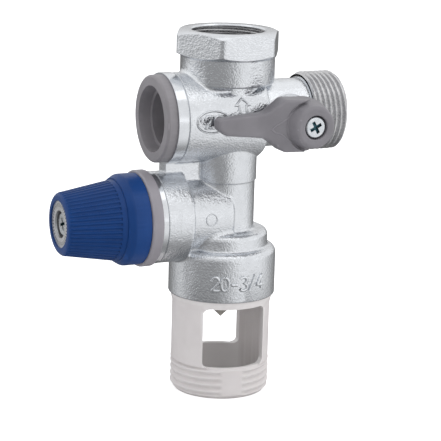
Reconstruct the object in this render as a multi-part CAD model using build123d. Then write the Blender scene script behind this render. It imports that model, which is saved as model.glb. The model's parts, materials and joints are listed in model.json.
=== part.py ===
from build123d import *
import math
import os

# Hydraulic safety group for a storage water heater, DN 20.
# Millimetres. Origin: centre of the heater socket's mouth. +Z is up, out of the socket.
# +X is the cold inlet, -X the inspection plug and the relief knob, -Y the lever's side.

# Clearances
fit_gap = 0.05            # radial, between turned pieces that run or screw together
oring_gap = 0.03          # around a sealing ring in its groove
face_gap = 0.03           # between a rubber face and its seat
sphere_gap = 0.10         # between the ball and its seats
slack = 0.4               # around what never touches
overlap = 1.0             # how far solids that are joined, or a cutter and its solid, run into each other

# Heater socket, G 3/4 female, with its spanner hexagon
socket_bore = 24.12
socket_depth = 15.0
socket_floor_bevel = 0.54
hex_flats = 32.0
hex_corners = 36.4
hex_face = 31.2
hex_bevel = 1.3
hex_height = 8.5
neck_diameter = 31.2
neck_height = 8.9
neck_round = 0.9
core_diameter = 24.4
riser_bore = 18.0

# Horizontal pipe: barrel of the check valve, ball valve, cold inlet
pipe_drop = 28.5
barrel_diameter = 29.6
barrel_right = 10.0
barrel_left = 19.3
barrel_round = 1.8
flange_diameter = 30.0
flange_width = 4.0
line_width = 0.5
line_depth = 0.35
inlet_pipe = 22.4
inlet_thread = 26.44
inlet_thread_length = 12.4
inlet_end = 39.0
inlet_chamfer = 0.9
chamber_bore = 22.4
plug_thread = 25.0
plug_thread_depth = 7.3

# Ball valve
ball_offset = 18.5
ball_diameter = 17.0
ball_port = 11.0
seat_outside = 17.4
seat_inside = 11.4
seat_outer_face = 8.3
seat_inner_face = 4.4
valve_wall = 3.7
retainer_length = 6.2
retainer_bore = 13.0
retainer_thread = 19.0
stem_diameter = 7.0
stem_collar = 9.2
stem_collar_start = 9.0
stem_collar_length = 1.7
stem_flats = 4.4
tang_width = 4.4
tang_thickness = 2.4
tang_end = 6.2
boss_diameter = 15.0
boss_reach = 16.6
stop_pin = 2.0
stop_radius = 5.9
stop_height = 1.8
stem_groove_depth = 0.95
stem_groove_width = 1.5
stem_groove_first = 12.0
stem_groove_pitch = 2.4

# Lever of the ball valve
hub_diameter = 16.8
hub_back = 17.4
hub_front = 29.5
hub_face = 12.2
hub_flank_start = 22.0
hub_edge = 0.8
hub_flank_round = 3.0
lever_reach = 31.0
lever_tip = 5.6
lever_root = 8.2
lever_root_at = 14.5
shoulder_at = 8.6
shoulder_width = 17.4
lever_back = 17.8
lever_front = 22.3
lever_fall = 0.6
fan_front = 27.6
fan_sweep = 12.0
valley_radius = 8.5
valley_floor = 24.6
lever_edge = 1.0
lever_tip_slant = 2.2
lever_tip_slant_run = 3.1
lever_tip_round = 1.1
lever_root_round = 7.0
shoulder_round = 2.6
shoulder_spread = 0.3
sweep_bend = 2.0
screw_head = 7.0
screw_head_height = 1.9
screw_sink = 0.5
screw_pocket = 7.9
screw_shank = 3.9
screw_length = 9.5
screw_cross = 1.1
screw_cross_length = 4.2
screw_cross_turn = 28.0
screw_head_round = 0.6
stem_top = 25.8

# Check valve cartridge and inspection plug
cartridge_ring = 5.9
cartridge_seat_bore = 12.0
cartridge_seat_thickness = 2.0
cartridge_room = 17.8
cartridge_wall = 1.9
cartridge_legs = 3
cartridge_leg_angle = 36.0
cartridge_leg_length = 8.0
cartridge_end = 1.5
guide_outside = 6.0
guide_bore = 3.3
poppet_diameter = 15.2
poppet_thickness = 1.8
poppet_nose = 9.6
poppet_nose_length = 1.6
poppet_nose_bevel = 0.8
poppet_travel = 3.5
check_seal_width = 1.7
check_seal_thickness = 1.0
check_wire = 0.7
check_spring_radius = 3.2
check_coils = 5
ring_wire = 1.6
plug_head = 28.7
plug_head_width = 3.5
plug_edge = 0.9
plug_recess = 21.8
plug_recess_taper = 1.3
plug_recess_depth = 4.0
plug_bore = 17.6
plug_floor = 2.8
plug_sleeve_wall = 1.9

# Column and relief valve
column_diameter = 21.2
column_upper = 21.3
column_lower_diameter = 20.4
column_bore = 12.0
column_well = 5.6
crease_round = 0.7
relief_drop = 32.9
web_thickness = 5.5
web_reach = 22.5
case_diameter = 30.4
case_inner_end = 16.2
case_outer_end = 25.9
case_round = 1.5
case_ring = 30.6
case_ring_width = 2.0
case_thread = 25.6
branch_diameter = 24.6
branch_end = 1.0
branch_round = 1.5
relief_room = 20.8
relief_shoulder = 16.5
relief_seat_face = 10.0
relief_seat_height = 2.4
relief_seat_bore = 10.0
relief_seat_outside = 13.2
relief_lift = 2.0
seal_diameter = 14.4
seal_thickness = 2.0
seal_lip = 0.8
shutter_diameter = 17.0
shutter_round = 0.6
shutter_back = 14.8
shutter_neck = 8.6
diaphragm_thickness = 1.0
diaphragm_bead = 0.8
diaphragm_bead_flank = 1.0
washer_thickness = 0.8
washer_bore = 19.6
cup_diameter = 15.4
cup_thickness = 1.8
cup_boss = 9.4
cup_boss_height = 2.2
cup_crown_taper = 1.0
spindle_diameter = 4.6
spindle_head = 7.6
spindle_head_thickness = 1.3
spring_wire = 2.0
spring_diameter = 12.6
spring_coils = 6
nut_length = 4.0
nut_bore = 8.4
nut_slot = 1.6
bonnet_ring = 31.9
bonnet_ring_width = 3.9
bonnet_tube = 18.6
bonnet_bore = 16.2
bonnet_tube_end = 52.4
bonnet_edge = 0.7

# Cams that lift the relief spindle when the knob turns
cam_count = 3
cam_turn = 60.0
cam_radius = 11.3
cam_width = 2.4
cam_foot = 1.2
cam_lead = 8.0
nose_diameter = 2.4
nose_gap = 0.2
nose_root = 0.5

# Relief knob
knob_gap = 0.15
knob_collar = 30.2
knob_collar_width = 7.6
knob_collar_round = 2.0
knob_fillet = 0.5
knob_root = 26.8
knob_tip = 21.0
knob_cone_end = 56.6
knob_end = 58.5
knob_end_round = 1.8
knob_flutes = 48
flute_diameter = 1.1
flute_depth = 0.38
flute_start = 41.3
knob_collar_bore = 26.0
knob_step = 37.4
knob_bore = 19.6
knob_floor = 53.4
label_diameter = 15.4
label_bore = 9.0
label_sink = 0.5
label_thickness = 0.6
knob_screw_head = 7.6
knob_screw_shank = 2.5
knob_screw_length = 8.0
knob_screw_head_height = 1.6
knob_screw_head_round = 0.5
knob_screw_cross = 0.9
knob_screw_cross_length = 4.2
knob_screw_cross_turn = 20.0
knob_seat = 55.5

# Lower body, drain funnel
step_drop = 5.1
step_diameter = 30.0
step_height = 5.5
step_round = 2.0
collar_diameter = 35.8
collar_height = 16.5
collar_round = 2.6
collar_edge = 0.5
collar_bore = 30.6
collar_bore_depth = 10.5
drain_room = 25.0
drain_room_height = 3.5
drain_bore = 5.6
drain_offset = 11.0
funnel_length = 33.6
funnel_diameter = 32.9
funnel_flare = 34.6
funnel_flare_height = 3.4
funnel_flare_round = 3.0
funnel_bore = 28.8
funnel_neck_bore = 24.0
funnel_neck_height = 9.3
funnel_thread = 33.25
funnel_thread_length = 9.2
funnel_rim = 30.0
funnel_rim_height = 1.5
window_top = 2.4
window_height = 20.6
window_angle = 81.0
window_turn = -4.5
window_round = 2.2
funnel_ring_wire = 1.6
funnel_ring_drop = 4.2
guide_flange = 29.6
guide_flange_thickness = 0.9
guide_ring_wall = 1.2
guide_ring_height = 3.0
guide_ribs = 4
guide_rib_thickness = 1.2
guide_cone = 11.0
guide_cone_rim = 3.0
guide_cone_neck = 9.0
guide_cone_tip = 9.3

# Inner radii that the forging die leaves where two forms run together
round_wide = 1.5
round_plain = 1.2
round_tight = 0.9
round_least = 0.7
corner_share = 0.7

# Places that follow from the sizes
z_pipe = -pipe_drop
z_neck = -hex_height - neck_height
z_relief = z_pipe - relief_drop
z_crease = z_pipe - column_upper
z_step = z_relief - step_drop
z_collar = z_step - step_height
z_collar_end = z_collar - collar_height
z_rim = z_collar_end - funnel_length
x_flange = -barrel_left - flange_width
x_valve_shoulder = ball_offset - seat_outer_face
x_check_shoulder = x_valve_shoulder - valve_wall
x_thread = inlet_end - inlet_thread_length
x_plug_floor = x_flange + plug_thread_depth - slack + ring_wire + plug_floor / 2
x_case_face = -case_outer_end - case_ring_width
x_bonnet_face = x_case_face - bonnet_ring_width
BOTTOM = (Align.CENTER, Align.CENTER, Align.MIN)
LEFT = (-1, 0, 0)
RIGHT = (1, 0, 0)
FRONT = (0, -1, 0)
UP = (0, 0, 1)
DOWN = (0, 0, -1)


def turned(corners, rounds=()):
    """Solid turned about Z from (diameter, height) corners; rounds are (diameter, height, radius)."""
    face = make_face(Polyline(*[(d / 2, h) for d, h in corners], close=True))
    for d, h, radius in rounds:
        corner = face.vertices().sort_by_distance((d / 2, h, 0))[0]
        face = fillet(corner, radius)
    return Rot(90, 0, 0) * revolve(face, Axis.Y)


def rod(diameter, start, direction, length):
    """Cylinder that begins at a point and runs along a direction."""
    return Plane(origin=start, z_dir=direction) * Cylinder(diameter / 2, length, align=BOTTOM)


def tube(outside, inside, length):
    """Plain ring about Z, standing on the origin."""
    return Cylinder(outside / 2, length, align=BOTTOM) - Cylinder(inside / 2, length, align=BOTTOM)


def sealing_ring(inside, outside, wire):
    """Rubber ring of round section, drawn to the groove it fills."""
    room = (outside - inside) / 2 - 2 * oring_gap
    return Torus((inside + outside) / 4, min(wire, room) / 2)


def coil(radius, wire, turns, length):
    """Compression spring standing on the origin, with its wire's ends inside the length."""
    rise = length - wire
    path = Helix(rise / turns, rise, radius)
    section = Plane(origin=path @ 0, z_dir=path % 0) * RegularPolygon(wire / 2, 8)
    return Pos(0, 0, wire / 2) * sweep(section, path, is_frenet=True)


def ring_copies(shape, count):
    """The same shape repeated round Z."""
    copies = [Rot(0, 0, 360 * i / count) * shape for i in range(count)]
    return copies


def outer_body():
    """Outside of the brass forging."""
    hexagon = extrude(RegularPolygon(hex_flats / 2, 6, major_radius=False), -hex_height)
    bevel = turned([(0, 0), (hex_face, 0), (hex_corners, -hex_bevel), (hex_corners, hex_bevel - hex_height),
                    (neck_diameter, -hex_height), (0, -hex_height)])
    neck = turned([(0, -hex_height), (neck_diameter, -hex_height), (neck_diameter, z_neck), (0, z_neck)],
                  [(neck_diameter, z_neck, neck_round)])
    core = rod(core_diameter, (0, 0, z_pipe), UP, pipe_drop - hex_height)
    barrel = turned([(0, -barrel_right), (barrel_diameter, -barrel_right), (barrel_diameter, barrel_left),
                     (0, barrel_left)], [(barrel_diameter, -barrel_right, barrel_round)])
    flange_line = barrel_left + line_width
    flange = turned([(0, barrel_left), (barrel_diameter - 2 * line_depth, barrel_left),
                     (barrel_diameter - 2 * line_depth, flange_line), (flange_diameter, flange_line),
                     (flange_diameter, -x_flange), (0, -x_flange)])
    inlet = rod(inlet_pipe, (0, 0, z_pipe), RIGHT, x_thread)
    thread_root = inlet_thread - 2 * inlet_chamfer
    thread = turned([(0, x_thread), (thread_root, x_thread), (inlet_thread, x_thread + inlet_chamfer),
                     (inlet_thread, inlet_end - inlet_chamfer), (thread_root, inlet_end), (0, inlet_end)])
    boss = rod(boss_diameter, (ball_offset, 0, z_pipe), FRONT, boss_reach)
    stop = rod(stop_pin, (ball_offset, -boss_reach, z_pipe + stop_radius), FRONT, stop_height)
    column_end = z_pipe - z_step + overlap
    column = turned([(0, 0), (column_diameter, 0), (column_diameter, column_upper),
                     (column_lower_diameter, column_upper), (column_lower_diameter, column_end),
                     (0, column_end)], [(column_diameter, column_upper, crease_round / 2)])
    web_height = relief_drop - column_lower_diameter / 2
    web = Pos(-web_reach / 2, 0, z_pipe - web_height / 2) * Box(web_reach, web_thickness, web_height)
    case = turned([(0, case_inner_end), (case_diameter, case_inner_end), (case_diameter, case_outer_end),
                   (0, case_outer_end)], [(case_diameter, case_inner_end, case_round)])
    case_line = case_outer_end + line_width / 2
    case_rim = turned([(0, case_outer_end), (case_diameter - 2 * line_depth, case_outer_end),
                       (case_diameter - 2 * line_depth, case_line), (case_ring, case_line),
                       (case_ring, -x_case_face), (0, -x_case_face)])
    branch = turned([(0, branch_end), (branch_diameter, branch_end), (branch_diameter, case_inner_end),
                     (0, case_inner_end)], [(branch_diameter, branch_end, branch_round)])
    shoulder = min(collar_round, 0.45 * (collar_diameter - step_diameter))
    lower = turned([(0, z_step), (step_diameter, z_step), (step_diameter, z_collar),
                    (collar_diameter, z_collar), (collar_diameter, z_collar_end), (0, z_collar_end)],
                   [(step_diameter, z_step, step_round), (collar_diameter, z_collar, shoulder),
                    (collar_diameter, z_collar_end, collar_edge)])
    leftward = Plane(origin=(0, 0, z_pipe), z_dir=LEFT)
    rightward = Plane(origin=(0, 0, z_pipe), z_dir=RIGHT)
    relief_side = Plane(origin=(0, 0, z_relief), z_dir=LEFT)
    downward = Plane(origin=(0, 0, z_pipe), z_dir=DOWN)
    solid = (hexagon & bevel) + neck + core + lower + downward * column + inlet
    solid += leftward * barrel + leftward * flange + rightward * thread
    solid += relief_side * case + relief_side * case_rim + relief_side * branch
    solid = solid + web + boss
    for place, radius in die_rounds():
        solid = rounded_joint(solid, place, radius)
    return solid + stop


def saddle(radius, across):
    """How far from its axis a cylinder lies at a distance to the side of it."""
    return math.sqrt(max(radius ** 2 - across ** 2, 0))


def rounded_joint(solid, place, radius):
    """Rounds the edge nearest a place, by less than the full radius where that doesn't fit."""
    edge = solid.edges().sort_by_distance(place)[0]
    for share in (1.0, 0.7, 0.4):
        try:
            softer = fillet(edge, share * radius)
        except ValueError:
            continue
        if softer.is_valid and len(softer.solids()) == 1:
            return softer
    return solid


def die_rounds():
    """Places on the joints between the forging's forms, each with its radius, in the order they are made."""
    pipe = inlet_pipe / 2
    barrel = barrel_diameter / 2
    column = column_diameter / 2
    lower_column = column_lower_diameter / 2
    branch = branch_diameter / 2
    flat = step_diameter / 2 - step_round
    boss_side = (ball_offset, -saddle(pipe, boss_diameter / 2), z_pipe + boss_diameter / 2)
    under_barrel = z_pipe - saddle(barrel, column)
    beside_step = saddle(branch, step_drop)
    along_step = -corner_share * saddle(flat, beside_step)
    places = [((lower_column, 0, z_crease), round_tight), (boss_side, round_plain),
              ((column, 0, z_pipe - pipe), round_wide), ((0, column, under_barrel), round_plain),
              ((0, -column, under_barrel), round_tight),
              ((along_step, -beside_step, z_step), round_wide),
              ((along_step, beside_step, z_step), round_wide),
              ((-case_inner_end, -branch, z_relief), round_plain),
              ((-case_inner_end, -web_thickness / 2, z_relief + branch), round_wide),
              ((step_diameter / 2, 0, z_collar), round_least), ((lower_column, 0, z_step), round_tight),
              ((-neck_diameter / 2, 0, z_pipe + barrel), round_plain),
              ((core_diameter / 2, 0, z_pipe + pipe), round_plain),
              ((-neck_diameter / 2, 0, -hex_height), round_least)]
    return places


def body():
    """The forging with everything that is bored out of it."""
    solid = outer_body()
    solid -= turned([(0, 0), (socket_bore, 0), (socket_bore, -socket_depth),
                     (riser_bore, -socket_depth - socket_floor_bevel), (riser_bore, z_pipe), (0, z_pipe)])
    thread_floor = -x_flange - plug_thread_depth
    chamber = turned([(0, -x_check_shoulder), (chamber_bore, -x_check_shoulder),
                      (chamber_bore, thread_floor), (plug_thread, thread_floor), (plug_thread, -x_flange),
                      (0, -x_flange)])
    solid -= Plane(origin=(0, 0, z_pipe), z_dir=LEFT) * chamber
    solid -= rod(seat_inside, (x_check_shoulder, 0, z_pipe), RIGHT, valve_wall)
    valve_bore = seat_outside + 2 * fit_gap
    inlet_bore = retainer_thread + 2 * fit_gap
    x_bore = ball_offset + seat_outer_face
    solid -= rod(valve_bore, (x_valve_shoulder, 0, z_pipe), RIGHT, inlet_end - x_valve_shoulder)
    solid -= rod(inlet_bore, (x_bore, 0, z_pipe), RIGHT, inlet_end - x_bore)
    collar_end = stem_collar_start + stem_collar_length + fit_gap
    solid -= rod(stem_collar + 2 * fit_gap, (ball_offset, 0, z_pipe), FRONT, collar_end)
    solid -= rod(stem_diameter + 2 * fit_gap, (ball_offset, 0, z_pipe), FRONT, boss_reach)
    solid -= rod(column_bore, (0, 0, z_pipe), DOWN, relief_drop + column_well)
    seat_floor = relief_seat_face - relief_seat_height
    room = turned([(relief_seat_outside, seat_floor), (relief_room, seat_floor),
                   (relief_room, relief_shoulder), (case_thread, relief_shoulder),
                   (case_thread, -x_case_face), (0, -x_case_face), (0, relief_seat_face),
                   (relief_seat_outside, relief_seat_face)])
    relief_side = Plane(origin=(0, 0, z_relief), z_dir=LEFT)
    solid -= relief_side * room
    solid -= rod(relief_seat_bore, (0, 0, z_relief), LEFT, relief_seat_face)
    z_room = z_collar_end + collar_bore_depth + drain_room_height
    solid -= rod(drain_bore, (-drain_offset, 0, z_relief - relief_seat_outside / 2), DOWN,
                 z_relief - relief_seat_outside / 2 - z_room + overlap)
    solid -= rod(collar_bore, (0, 0, z_collar_end), UP, collar_bore_depth)
    solid -= rod(drain_room, (0, 0, z_collar_end), UP, collar_bore_depth + drain_room_height)
    return solid


def ball():
    """Chromed ball with its waterway along X and the slot for the stem's tang."""
    sphere = Sphere(ball_diameter / 2) - rod(ball_port, (-ball_diameter, 0, 0), RIGHT, 2 * ball_diameter)
    slot = Box(ball_diameter, ball_diameter, tang_thickness + 2 * fit_gap)
    slot_floor = tang_end - 2 * fit_gap
    sphere -= Pos(0, -slot_floor - ball_diameter / 2, 0) * slot
    return Pos(ball_offset, 0, z_pipe) * sphere


def ball_seat(side):
    """Plastic ring that the ball turns against; side is -1 at the check valve, +1 at the inlet."""
    thickness = seat_outer_face - seat_inner_face
    ring = Pos(0, 0, seat_inner_face) * tube(seat_outside, seat_inside, thickness)
    ring -= Sphere(ball_diameter / 2 + sphere_gap)
    return Plane(origin=(ball_offset, 0, z_pipe), z_dir=(side, 0, 0)) * ring


def ball_retainer():
    """Screwed brass ring that holds ball and seats in from the inlet, with two spanner slots."""
    ring = tube(retainer_thread, retainer_bore, retainer_length)
    slot_depth = retainer_length / 4
    slots = Pos(0, 0, retainer_length - slot_depth / 2) * Box(nut_slot, retainer_thread, slot_depth)
    return Plane(origin=(ball_offset + seat_outer_face, 0, z_pipe), z_dir=RIGHT) * (ring - slots)


def ball_stem():
    """Brass stem: tang in the ball, collar that can't blow out, two ring grooves, flats for the lever."""
    stem = turned([(0, stem_collar_start), (stem_collar, stem_collar_start),
                   (stem_collar, stem_collar_start + stem_collar_length),
                   (stem_diameter, stem_collar_start + stem_collar_length), (stem_diameter, stem_top),
                   (0, stem_top)])
    for i in range(2):
        groove = tube(stem_diameter, stem_diameter - 2 * stem_groove_depth, stem_groove_width)
        stem -= Pos(0, 0, stem_groove_first + i * stem_groove_pitch) * groove
    flat_length = stem_top - hub_back
    for side in (-1, 1):
        across = side * (stem_flats + stem_diameter) / 2
        stem -= Pos(0, across, hub_back + flat_length / 2) * Box(stem_diameter, stem_diameter, flat_length)
    tang_length = stem_collar_start - tang_end
    stem += Pos(0, 0, tang_end + tang_length / 2) * Box(tang_width, tang_thickness, tang_length)
    screw_end = hub_front - screw_sink - screw_head_height - screw_length
    tapped = Cylinder(screw_shank / 2 + fit_gap, hub_front, align=BOTTOM)
    stem -= Pos(0, 0, screw_end - slack) * tapped
    return Plane(origin=(ball_offset, 0, z_pipe), x_dir=RIGHT, z_dir=FRONT) * stem


def stem_oring(i):
    """One of the two rubber rings on the stem."""
    ring = sealing_ring(stem_diameter - 2 * stem_groove_depth, stem_diameter + 2 * fit_gap, stem_groove_width)
    height = stem_groove_first + i * stem_groove_pitch + stem_groove_width / 2
    return Plane(origin=(ball_offset, 0, z_pipe), z_dir=FRONT) * Pos(0, 0, height) * ring


def handle():
    """Moulded lever, drawn along local -X with its hub on the stem's axis and local Z to the front."""
    half_tip = lever_tip / 2
    half_root = lever_root / 2
    half_fan = shoulder_width / 2
    hub_side = half_fan - shoulder_spread
    slant = (-lever_reach, -half_tip + lever_tip_slant)
    slant_end = (-lever_reach + lever_tip_slant_run, -half_tip)
    plan = Polyline((0, hub_side), (-shoulder_at, half_fan), (-lever_root_at, half_root),
                    (-lever_reach, half_tip), slant, slant_end, (-lever_root_at, -half_root),
                    (-shoulder_at, -half_fan), (0, -hub_side), close=True)
    outline = make_face(plan)
    for x, y, radius in ((-shoulder_at, half_fan, shoulder_round), (-shoulder_at, -half_fan, shoulder_round),
                         (-lever_root_at, half_root, lever_root_round),
                         (-lever_root_at, -half_root, lever_root_round),
                         (-lever_reach, half_tip, lever_tip_round), (*slant, lever_tip_round),
                         (*slant_end, lever_tip_round)):
        corner = outline.vertices().sort_by_distance((x, y, 0))[0]
        outline = fillet(corner, radius)
    fan = Pos(0, 0, lever_back) * extrude(outline, fan_front + overlap - lever_back)
    over = fan_front + 2 * overlap
    beyond = -lever_reach - overlap
    bend = -lever_root_at - sweep_bend
    slope = make_face(Polyline((beyond, lever_front - lever_fall), (bend, lever_front),
                               (overlap, fan_front), (overlap, over), (beyond, over), close=True))
    slope = fillet(slope.vertices().sort_by_distance((bend, lever_front, 0))[0], fan_sweep)
    fan -= extrude(Plane.XZ * slope, shoulder_width, both=True)
    fan = fillet(front_rim(fan), lever_edge)
    valley = hub_front - valley_floor
    fan -= Pos(0, 0, valley_floor) * Cylinder(valley_radius, valley, align=BOTTOM)
    hub = turned([(0, hub_back), (hub_diameter, hub_back), (hub_diameter, hub_flank_start),
                  (hub_face + 2 * hub_edge, hub_front - hub_edge), (hub_face, hub_front), (0, hub_front)],
                 [(hub_diameter, hub_flank_start, hub_flank_round),
                  (hub_face + 2 * hub_edge, hub_front - hub_edge, hub_edge)])
    solid = fan + hub
    flats = stem_flats + 2 * fit_gap
    socket = Cylinder(stem_diameter / 2 + fit_gap, stem_top - hub_back + slack, align=BOTTOM)
    socket &= Box(stem_diameter * 2, flats, 4 * hub_front)
    solid -= Pos(0, 0, hub_back) * socket
    solid -= Cylinder(screw_shank / 2 + slack / 2, hub_front, align=BOTTOM)
    head_seat = hub_front - screw_sink - screw_head_height
    solid -= Pos(0, 0, head_seat) * Cylinder(screw_pocket / 2, hub_front, align=BOTTOM)
    track = make_face(stop_track())
    solid -= Pos(0, 0, hub_back) * extrude(track, stop_height + slack)
    return Plane(origin=(ball_offset, 0, z_pipe), x_dir=RIGHT, z_dir=FRONT) * solid


def front_rim(fan):
    """Edges round the lever's front face, without the corners that run back from it."""
    rim = []
    for edge in fan.edges():
        start = edge @ 0
        end = edge @ 1
        across = math.hypot(start.X - end.X, start.Y - end.Y)
        in_front = edge.center().Z > lever_front - lever_edge and edge.center().X < -fit_gap
        if in_front and across > fit_gap and abs(start.Z - end.Z) < fan_front - lever_front:
            rim.append(edge)
    return rim


def stop_track():
    """Edge of the curved pocket in the lever's back that swings over the stop pin for a quarter turn."""
    half = stop_pin / 2 + slack / 2
    inner = stop_radius - half
    outer = stop_radius + half
    start = 90.0
    end = 0.0
    mid = (start + end) / 2
    spot = [[(r * math.cos(math.radians(a)), r * math.sin(math.radians(a))) for a in (start, mid, end)]
            for r in (inner, outer)]
    cap_end = (stop_radius, -half)
    cap_start = (-half, stop_radius)
    return (ThreePointArc(*spot[0]) + ThreePointArc(spot[0][2], cap_end, spot[1][2])
            + ThreePointArc(*spot[1][::-1]) + ThreePointArc(spot[1][0], cap_start, spot[0][0]))


def handle_screw():
    """Cross-head screw that holds the lever on its stem."""
    head_seat = hub_front - screw_sink - screw_head_height
    screw = turned([(0, head_seat - screw_length), (screw_shank, head_seat - screw_length),
                    (screw_shank, head_seat), (screw_head, head_seat),
                    (screw_head, head_seat + screw_head_height), (0, head_seat + screw_head_height)],
                   [(screw_head, head_seat + screw_head_height, screw_head_round)])
    cross = Box(screw_cross_length, screw_cross, screw_head_height)
    cross += Box(screw_cross, screw_cross_length, screw_head_height)
    screw -= Pos(0, 0, head_seat + screw_head_height) * Rot(0, 0, screw_cross_turn) * cross
    return Plane(origin=(ball_offset, 0, z_pipe), x_dir=RIGHT, z_dir=FRONT) * screw


def check_housing():
    """Moulded cartridge: seat ring, open legs and the guide that the poppet's stem slides in."""
    outside = chamber_bore - 2 * fit_gap
    solid = tube(outside, cartridge_seat_bore, cartridge_seat_thickness)
    solid += Pos(0, 0, cartridge_seat_thickness) * tube(outside, cartridge_room,
                                                        cartridge_ring - cartridge_seat_thickness)
    groove_height = cartridge_ring / 2 - ring_wire / 2
    solid -= Pos(0, 0, groove_height) * tube(outside, outside - 2 * ring_wire, ring_wire)
    wedge = math.radians(cartridge_leg_angle / 2)
    reach = outside
    sector = make_face(Polyline((0, 0), (reach * math.cos(wedge), reach * math.sin(wedge)),
                                (reach * math.cos(wedge), -reach * math.sin(wedge)), close=True))
    leg = Pos(0, 0, cartridge_ring) * (extrude(sector, cartridge_leg_length)
                                       & tube(outside, cartridge_room, cartridge_leg_length))
    end_height = cartridge_ring + cartridge_leg_length
    end_ring = Pos(0, 0, end_height) * tube(outside, cartridge_room, cartridge_end)
    spoke_length = (outside - guide_outside) / 2 - cartridge_wall / 2
    root = (guide_outside + guide_bore) / 4
    spoke_length += guide_outside / 2 - root
    spoke = Pos(root, 0, end_height) * Box(spoke_length, cartridge_wall, cartridge_end,
                                           align=(Align.MIN, Align.CENTER, Align.MIN))
    for piece in ring_copies(leg, cartridge_legs) + ring_copies(spoke, cartridge_legs):
        solid += piece
    solid += end_ring
    solid += Pos(0, 0, end_height) * tube(guide_outside, guide_bore, cartridge_end)
    solid -= Cylinder(guide_bore / 2, end_height + 2 * cartridge_end, align=BOTTOM)
    return Plane(origin=(x_check_shoulder, 0, z_pipe), z_dir=LEFT) * Rot(0, 0, 60) * solid


def check_poppet():
    """Closing disc with its guide stem and the nose that centres it in the seat."""
    face = cartridge_seat_thickness + face_gap
    nose = face - poppet_nose_length
    back = face + poppet_thickness
    stem = guide_bore - 2 * fit_gap
    stem_end = x_check_shoulder - x_plug_floor - poppet_travel - slack
    solid = turned([(0, nose), (poppet_nose - 2 * poppet_nose_bevel, nose),
                    (poppet_nose, nose + poppet_nose_bevel), (poppet_nose, face), (poppet_diameter, face),
                    (poppet_diameter, back), (stem, back), (stem, stem_end), (0, stem_end)])
    seal_outside = cartridge_seat_bore + 2 * check_seal_width
    groove = tube(seal_outside, cartridge_seat_bore - check_seal_width, check_seal_thickness)
    solid -= Pos(0, 0, face) * groove
    return Plane(origin=(x_check_shoulder, 0, z_pipe), z_dir=LEFT) * solid


def check_seal():
    """Rubber ring set in the poppet's face."""
    ring = tube(cartridge_seat_bore + 2 * check_seal_width, cartridge_seat_bore - check_seal_width,
                check_seal_thickness)
    height = cartridge_seat_thickness + face_gap
    return Plane(origin=(x_check_shoulder, 0, z_pipe), z_dir=LEFT) * Pos(0, 0, height) * ring


def check_spring():
    """Light spring that closes the poppet."""
    start = cartridge_seat_thickness + face_gap + poppet_thickness
    length = cartridge_ring + cartridge_leg_length - start
    spring = Pos(0, 0, start) * coil(check_spring_radius, check_wire, check_coils, length)
    return Plane(origin=(x_check_shoulder, 0, z_pipe), z_dir=LEFT) * spring


def check_oring():
    """Rubber ring round the cartridge."""
    outside = chamber_bore - 2 * fit_gap
    ring = sealing_ring(outside - 2 * ring_wire, chamber_bore, ring_wire)
    return Plane(origin=(x_check_shoulder, 0, z_pipe), z_dir=LEFT) * Pos(0, 0, cartridge_ring / 2) * ring


def inspection_plug():
    """Moulded plug: recessed head, thread, ring groove and the sleeve that holds the cartridge home."""
    head_end = plug_head_width
    screwed = -plug_thread_depth + slack
    cartridge_back = cartridge_ring + cartridge_leg_length + cartridge_end
    sleeve_end = x_flange - x_check_shoulder + cartridge_back + face_gap
    thread = plug_thread - 2 * fit_gap
    shank = chamber_bore - 2 * fit_gap
    solid = turned([(0, sleeve_end), (shank, sleeve_end), (shank, screwed), (thread, screwed), (thread, 0),
                    (plug_head, 0), (plug_head, head_end), (0, head_end)],
                   [(plug_head, head_end, plug_edge)])
    floor = screwed - ring_wire
    lip = head_end - plug_recess_depth
    solid -= turned([(0, floor + plug_floor), (plug_bore, floor + plug_floor), (plug_bore, lip),
                     (plug_recess - plug_recess_taper, lip), (plug_recess, head_end), (0, head_end)])
    inner = shank - 2 * plug_sleeve_wall
    solid -= Pos(0, 0, sleeve_end) * Cylinder(inner / 2, x_flange - x_plug_floor - sleeve_end, align=BOTTOM)
    groove = tube(shank, shank - 2 * ring_wire, ring_wire)
    solid -= Pos(0, 0, screwed - 1.5 * ring_wire) * groove
    return Plane(origin=(x_flange, 0, z_pipe), z_dir=LEFT) * solid


def plug_oring():
    """Rubber ring round the plug's shank."""
    shank = chamber_bore - 2 * fit_gap
    ring = sealing_ring(shank - 2 * ring_wire, chamber_bore, ring_wire)
    height = slack - plug_thread_depth - ring_wire
    return Plane(origin=(x_flange, 0, z_pipe), z_dir=LEFT) * Pos(0, 0, height) * ring


def relief_plane():
    """Work plane on the relief valve's axis, looking out at the knob."""
    return Plane(origin=(0, 0, z_relief), x_dir=FRONT, z_dir=LEFT)


def relief_seal():
    """Rubber disc that closes the relief seat."""
    disc = Cylinder(seal_diameter / 2, seal_thickness, align=BOTTOM)
    return relief_plane() * Pos(0, 0, relief_seat_face + face_gap) * disc


def relief_shutter():
    """Brass holder of the seal, with a pocket for the spindle's head and a neck up to the diaphragm."""
    front = relief_seat_face + face_gap + seal_thickness - seal_lip
    neck_end = relief_shoulder - face_gap
    solid = turned([(0, front), (shutter_diameter, front), (shutter_diameter, shutter_back),
                    (shutter_neck, shutter_back), (shutter_neck, neck_end), (0, neck_end)],
                   [(shutter_diameter, shutter_back, shutter_round)])
    pocket = relief_seat_face + face_gap + seal_thickness
    solid -= Pos(0, 0, front) * Cylinder(seal_diameter / 2 + fit_gap, seal_lip, align=BOTTOM)
    solid -= Pos(0, 0, pocket) * Cylinder(spindle_head / 2 + fit_gap, spindle_head_thickness + 2 * fit_gap,
                                          align=BOTTOM)
    solid -= Cylinder(spindle_diameter / 2 + fit_gap, relief_shoulder, align=BOTTOM)
    return relief_plane() * solid


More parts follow.
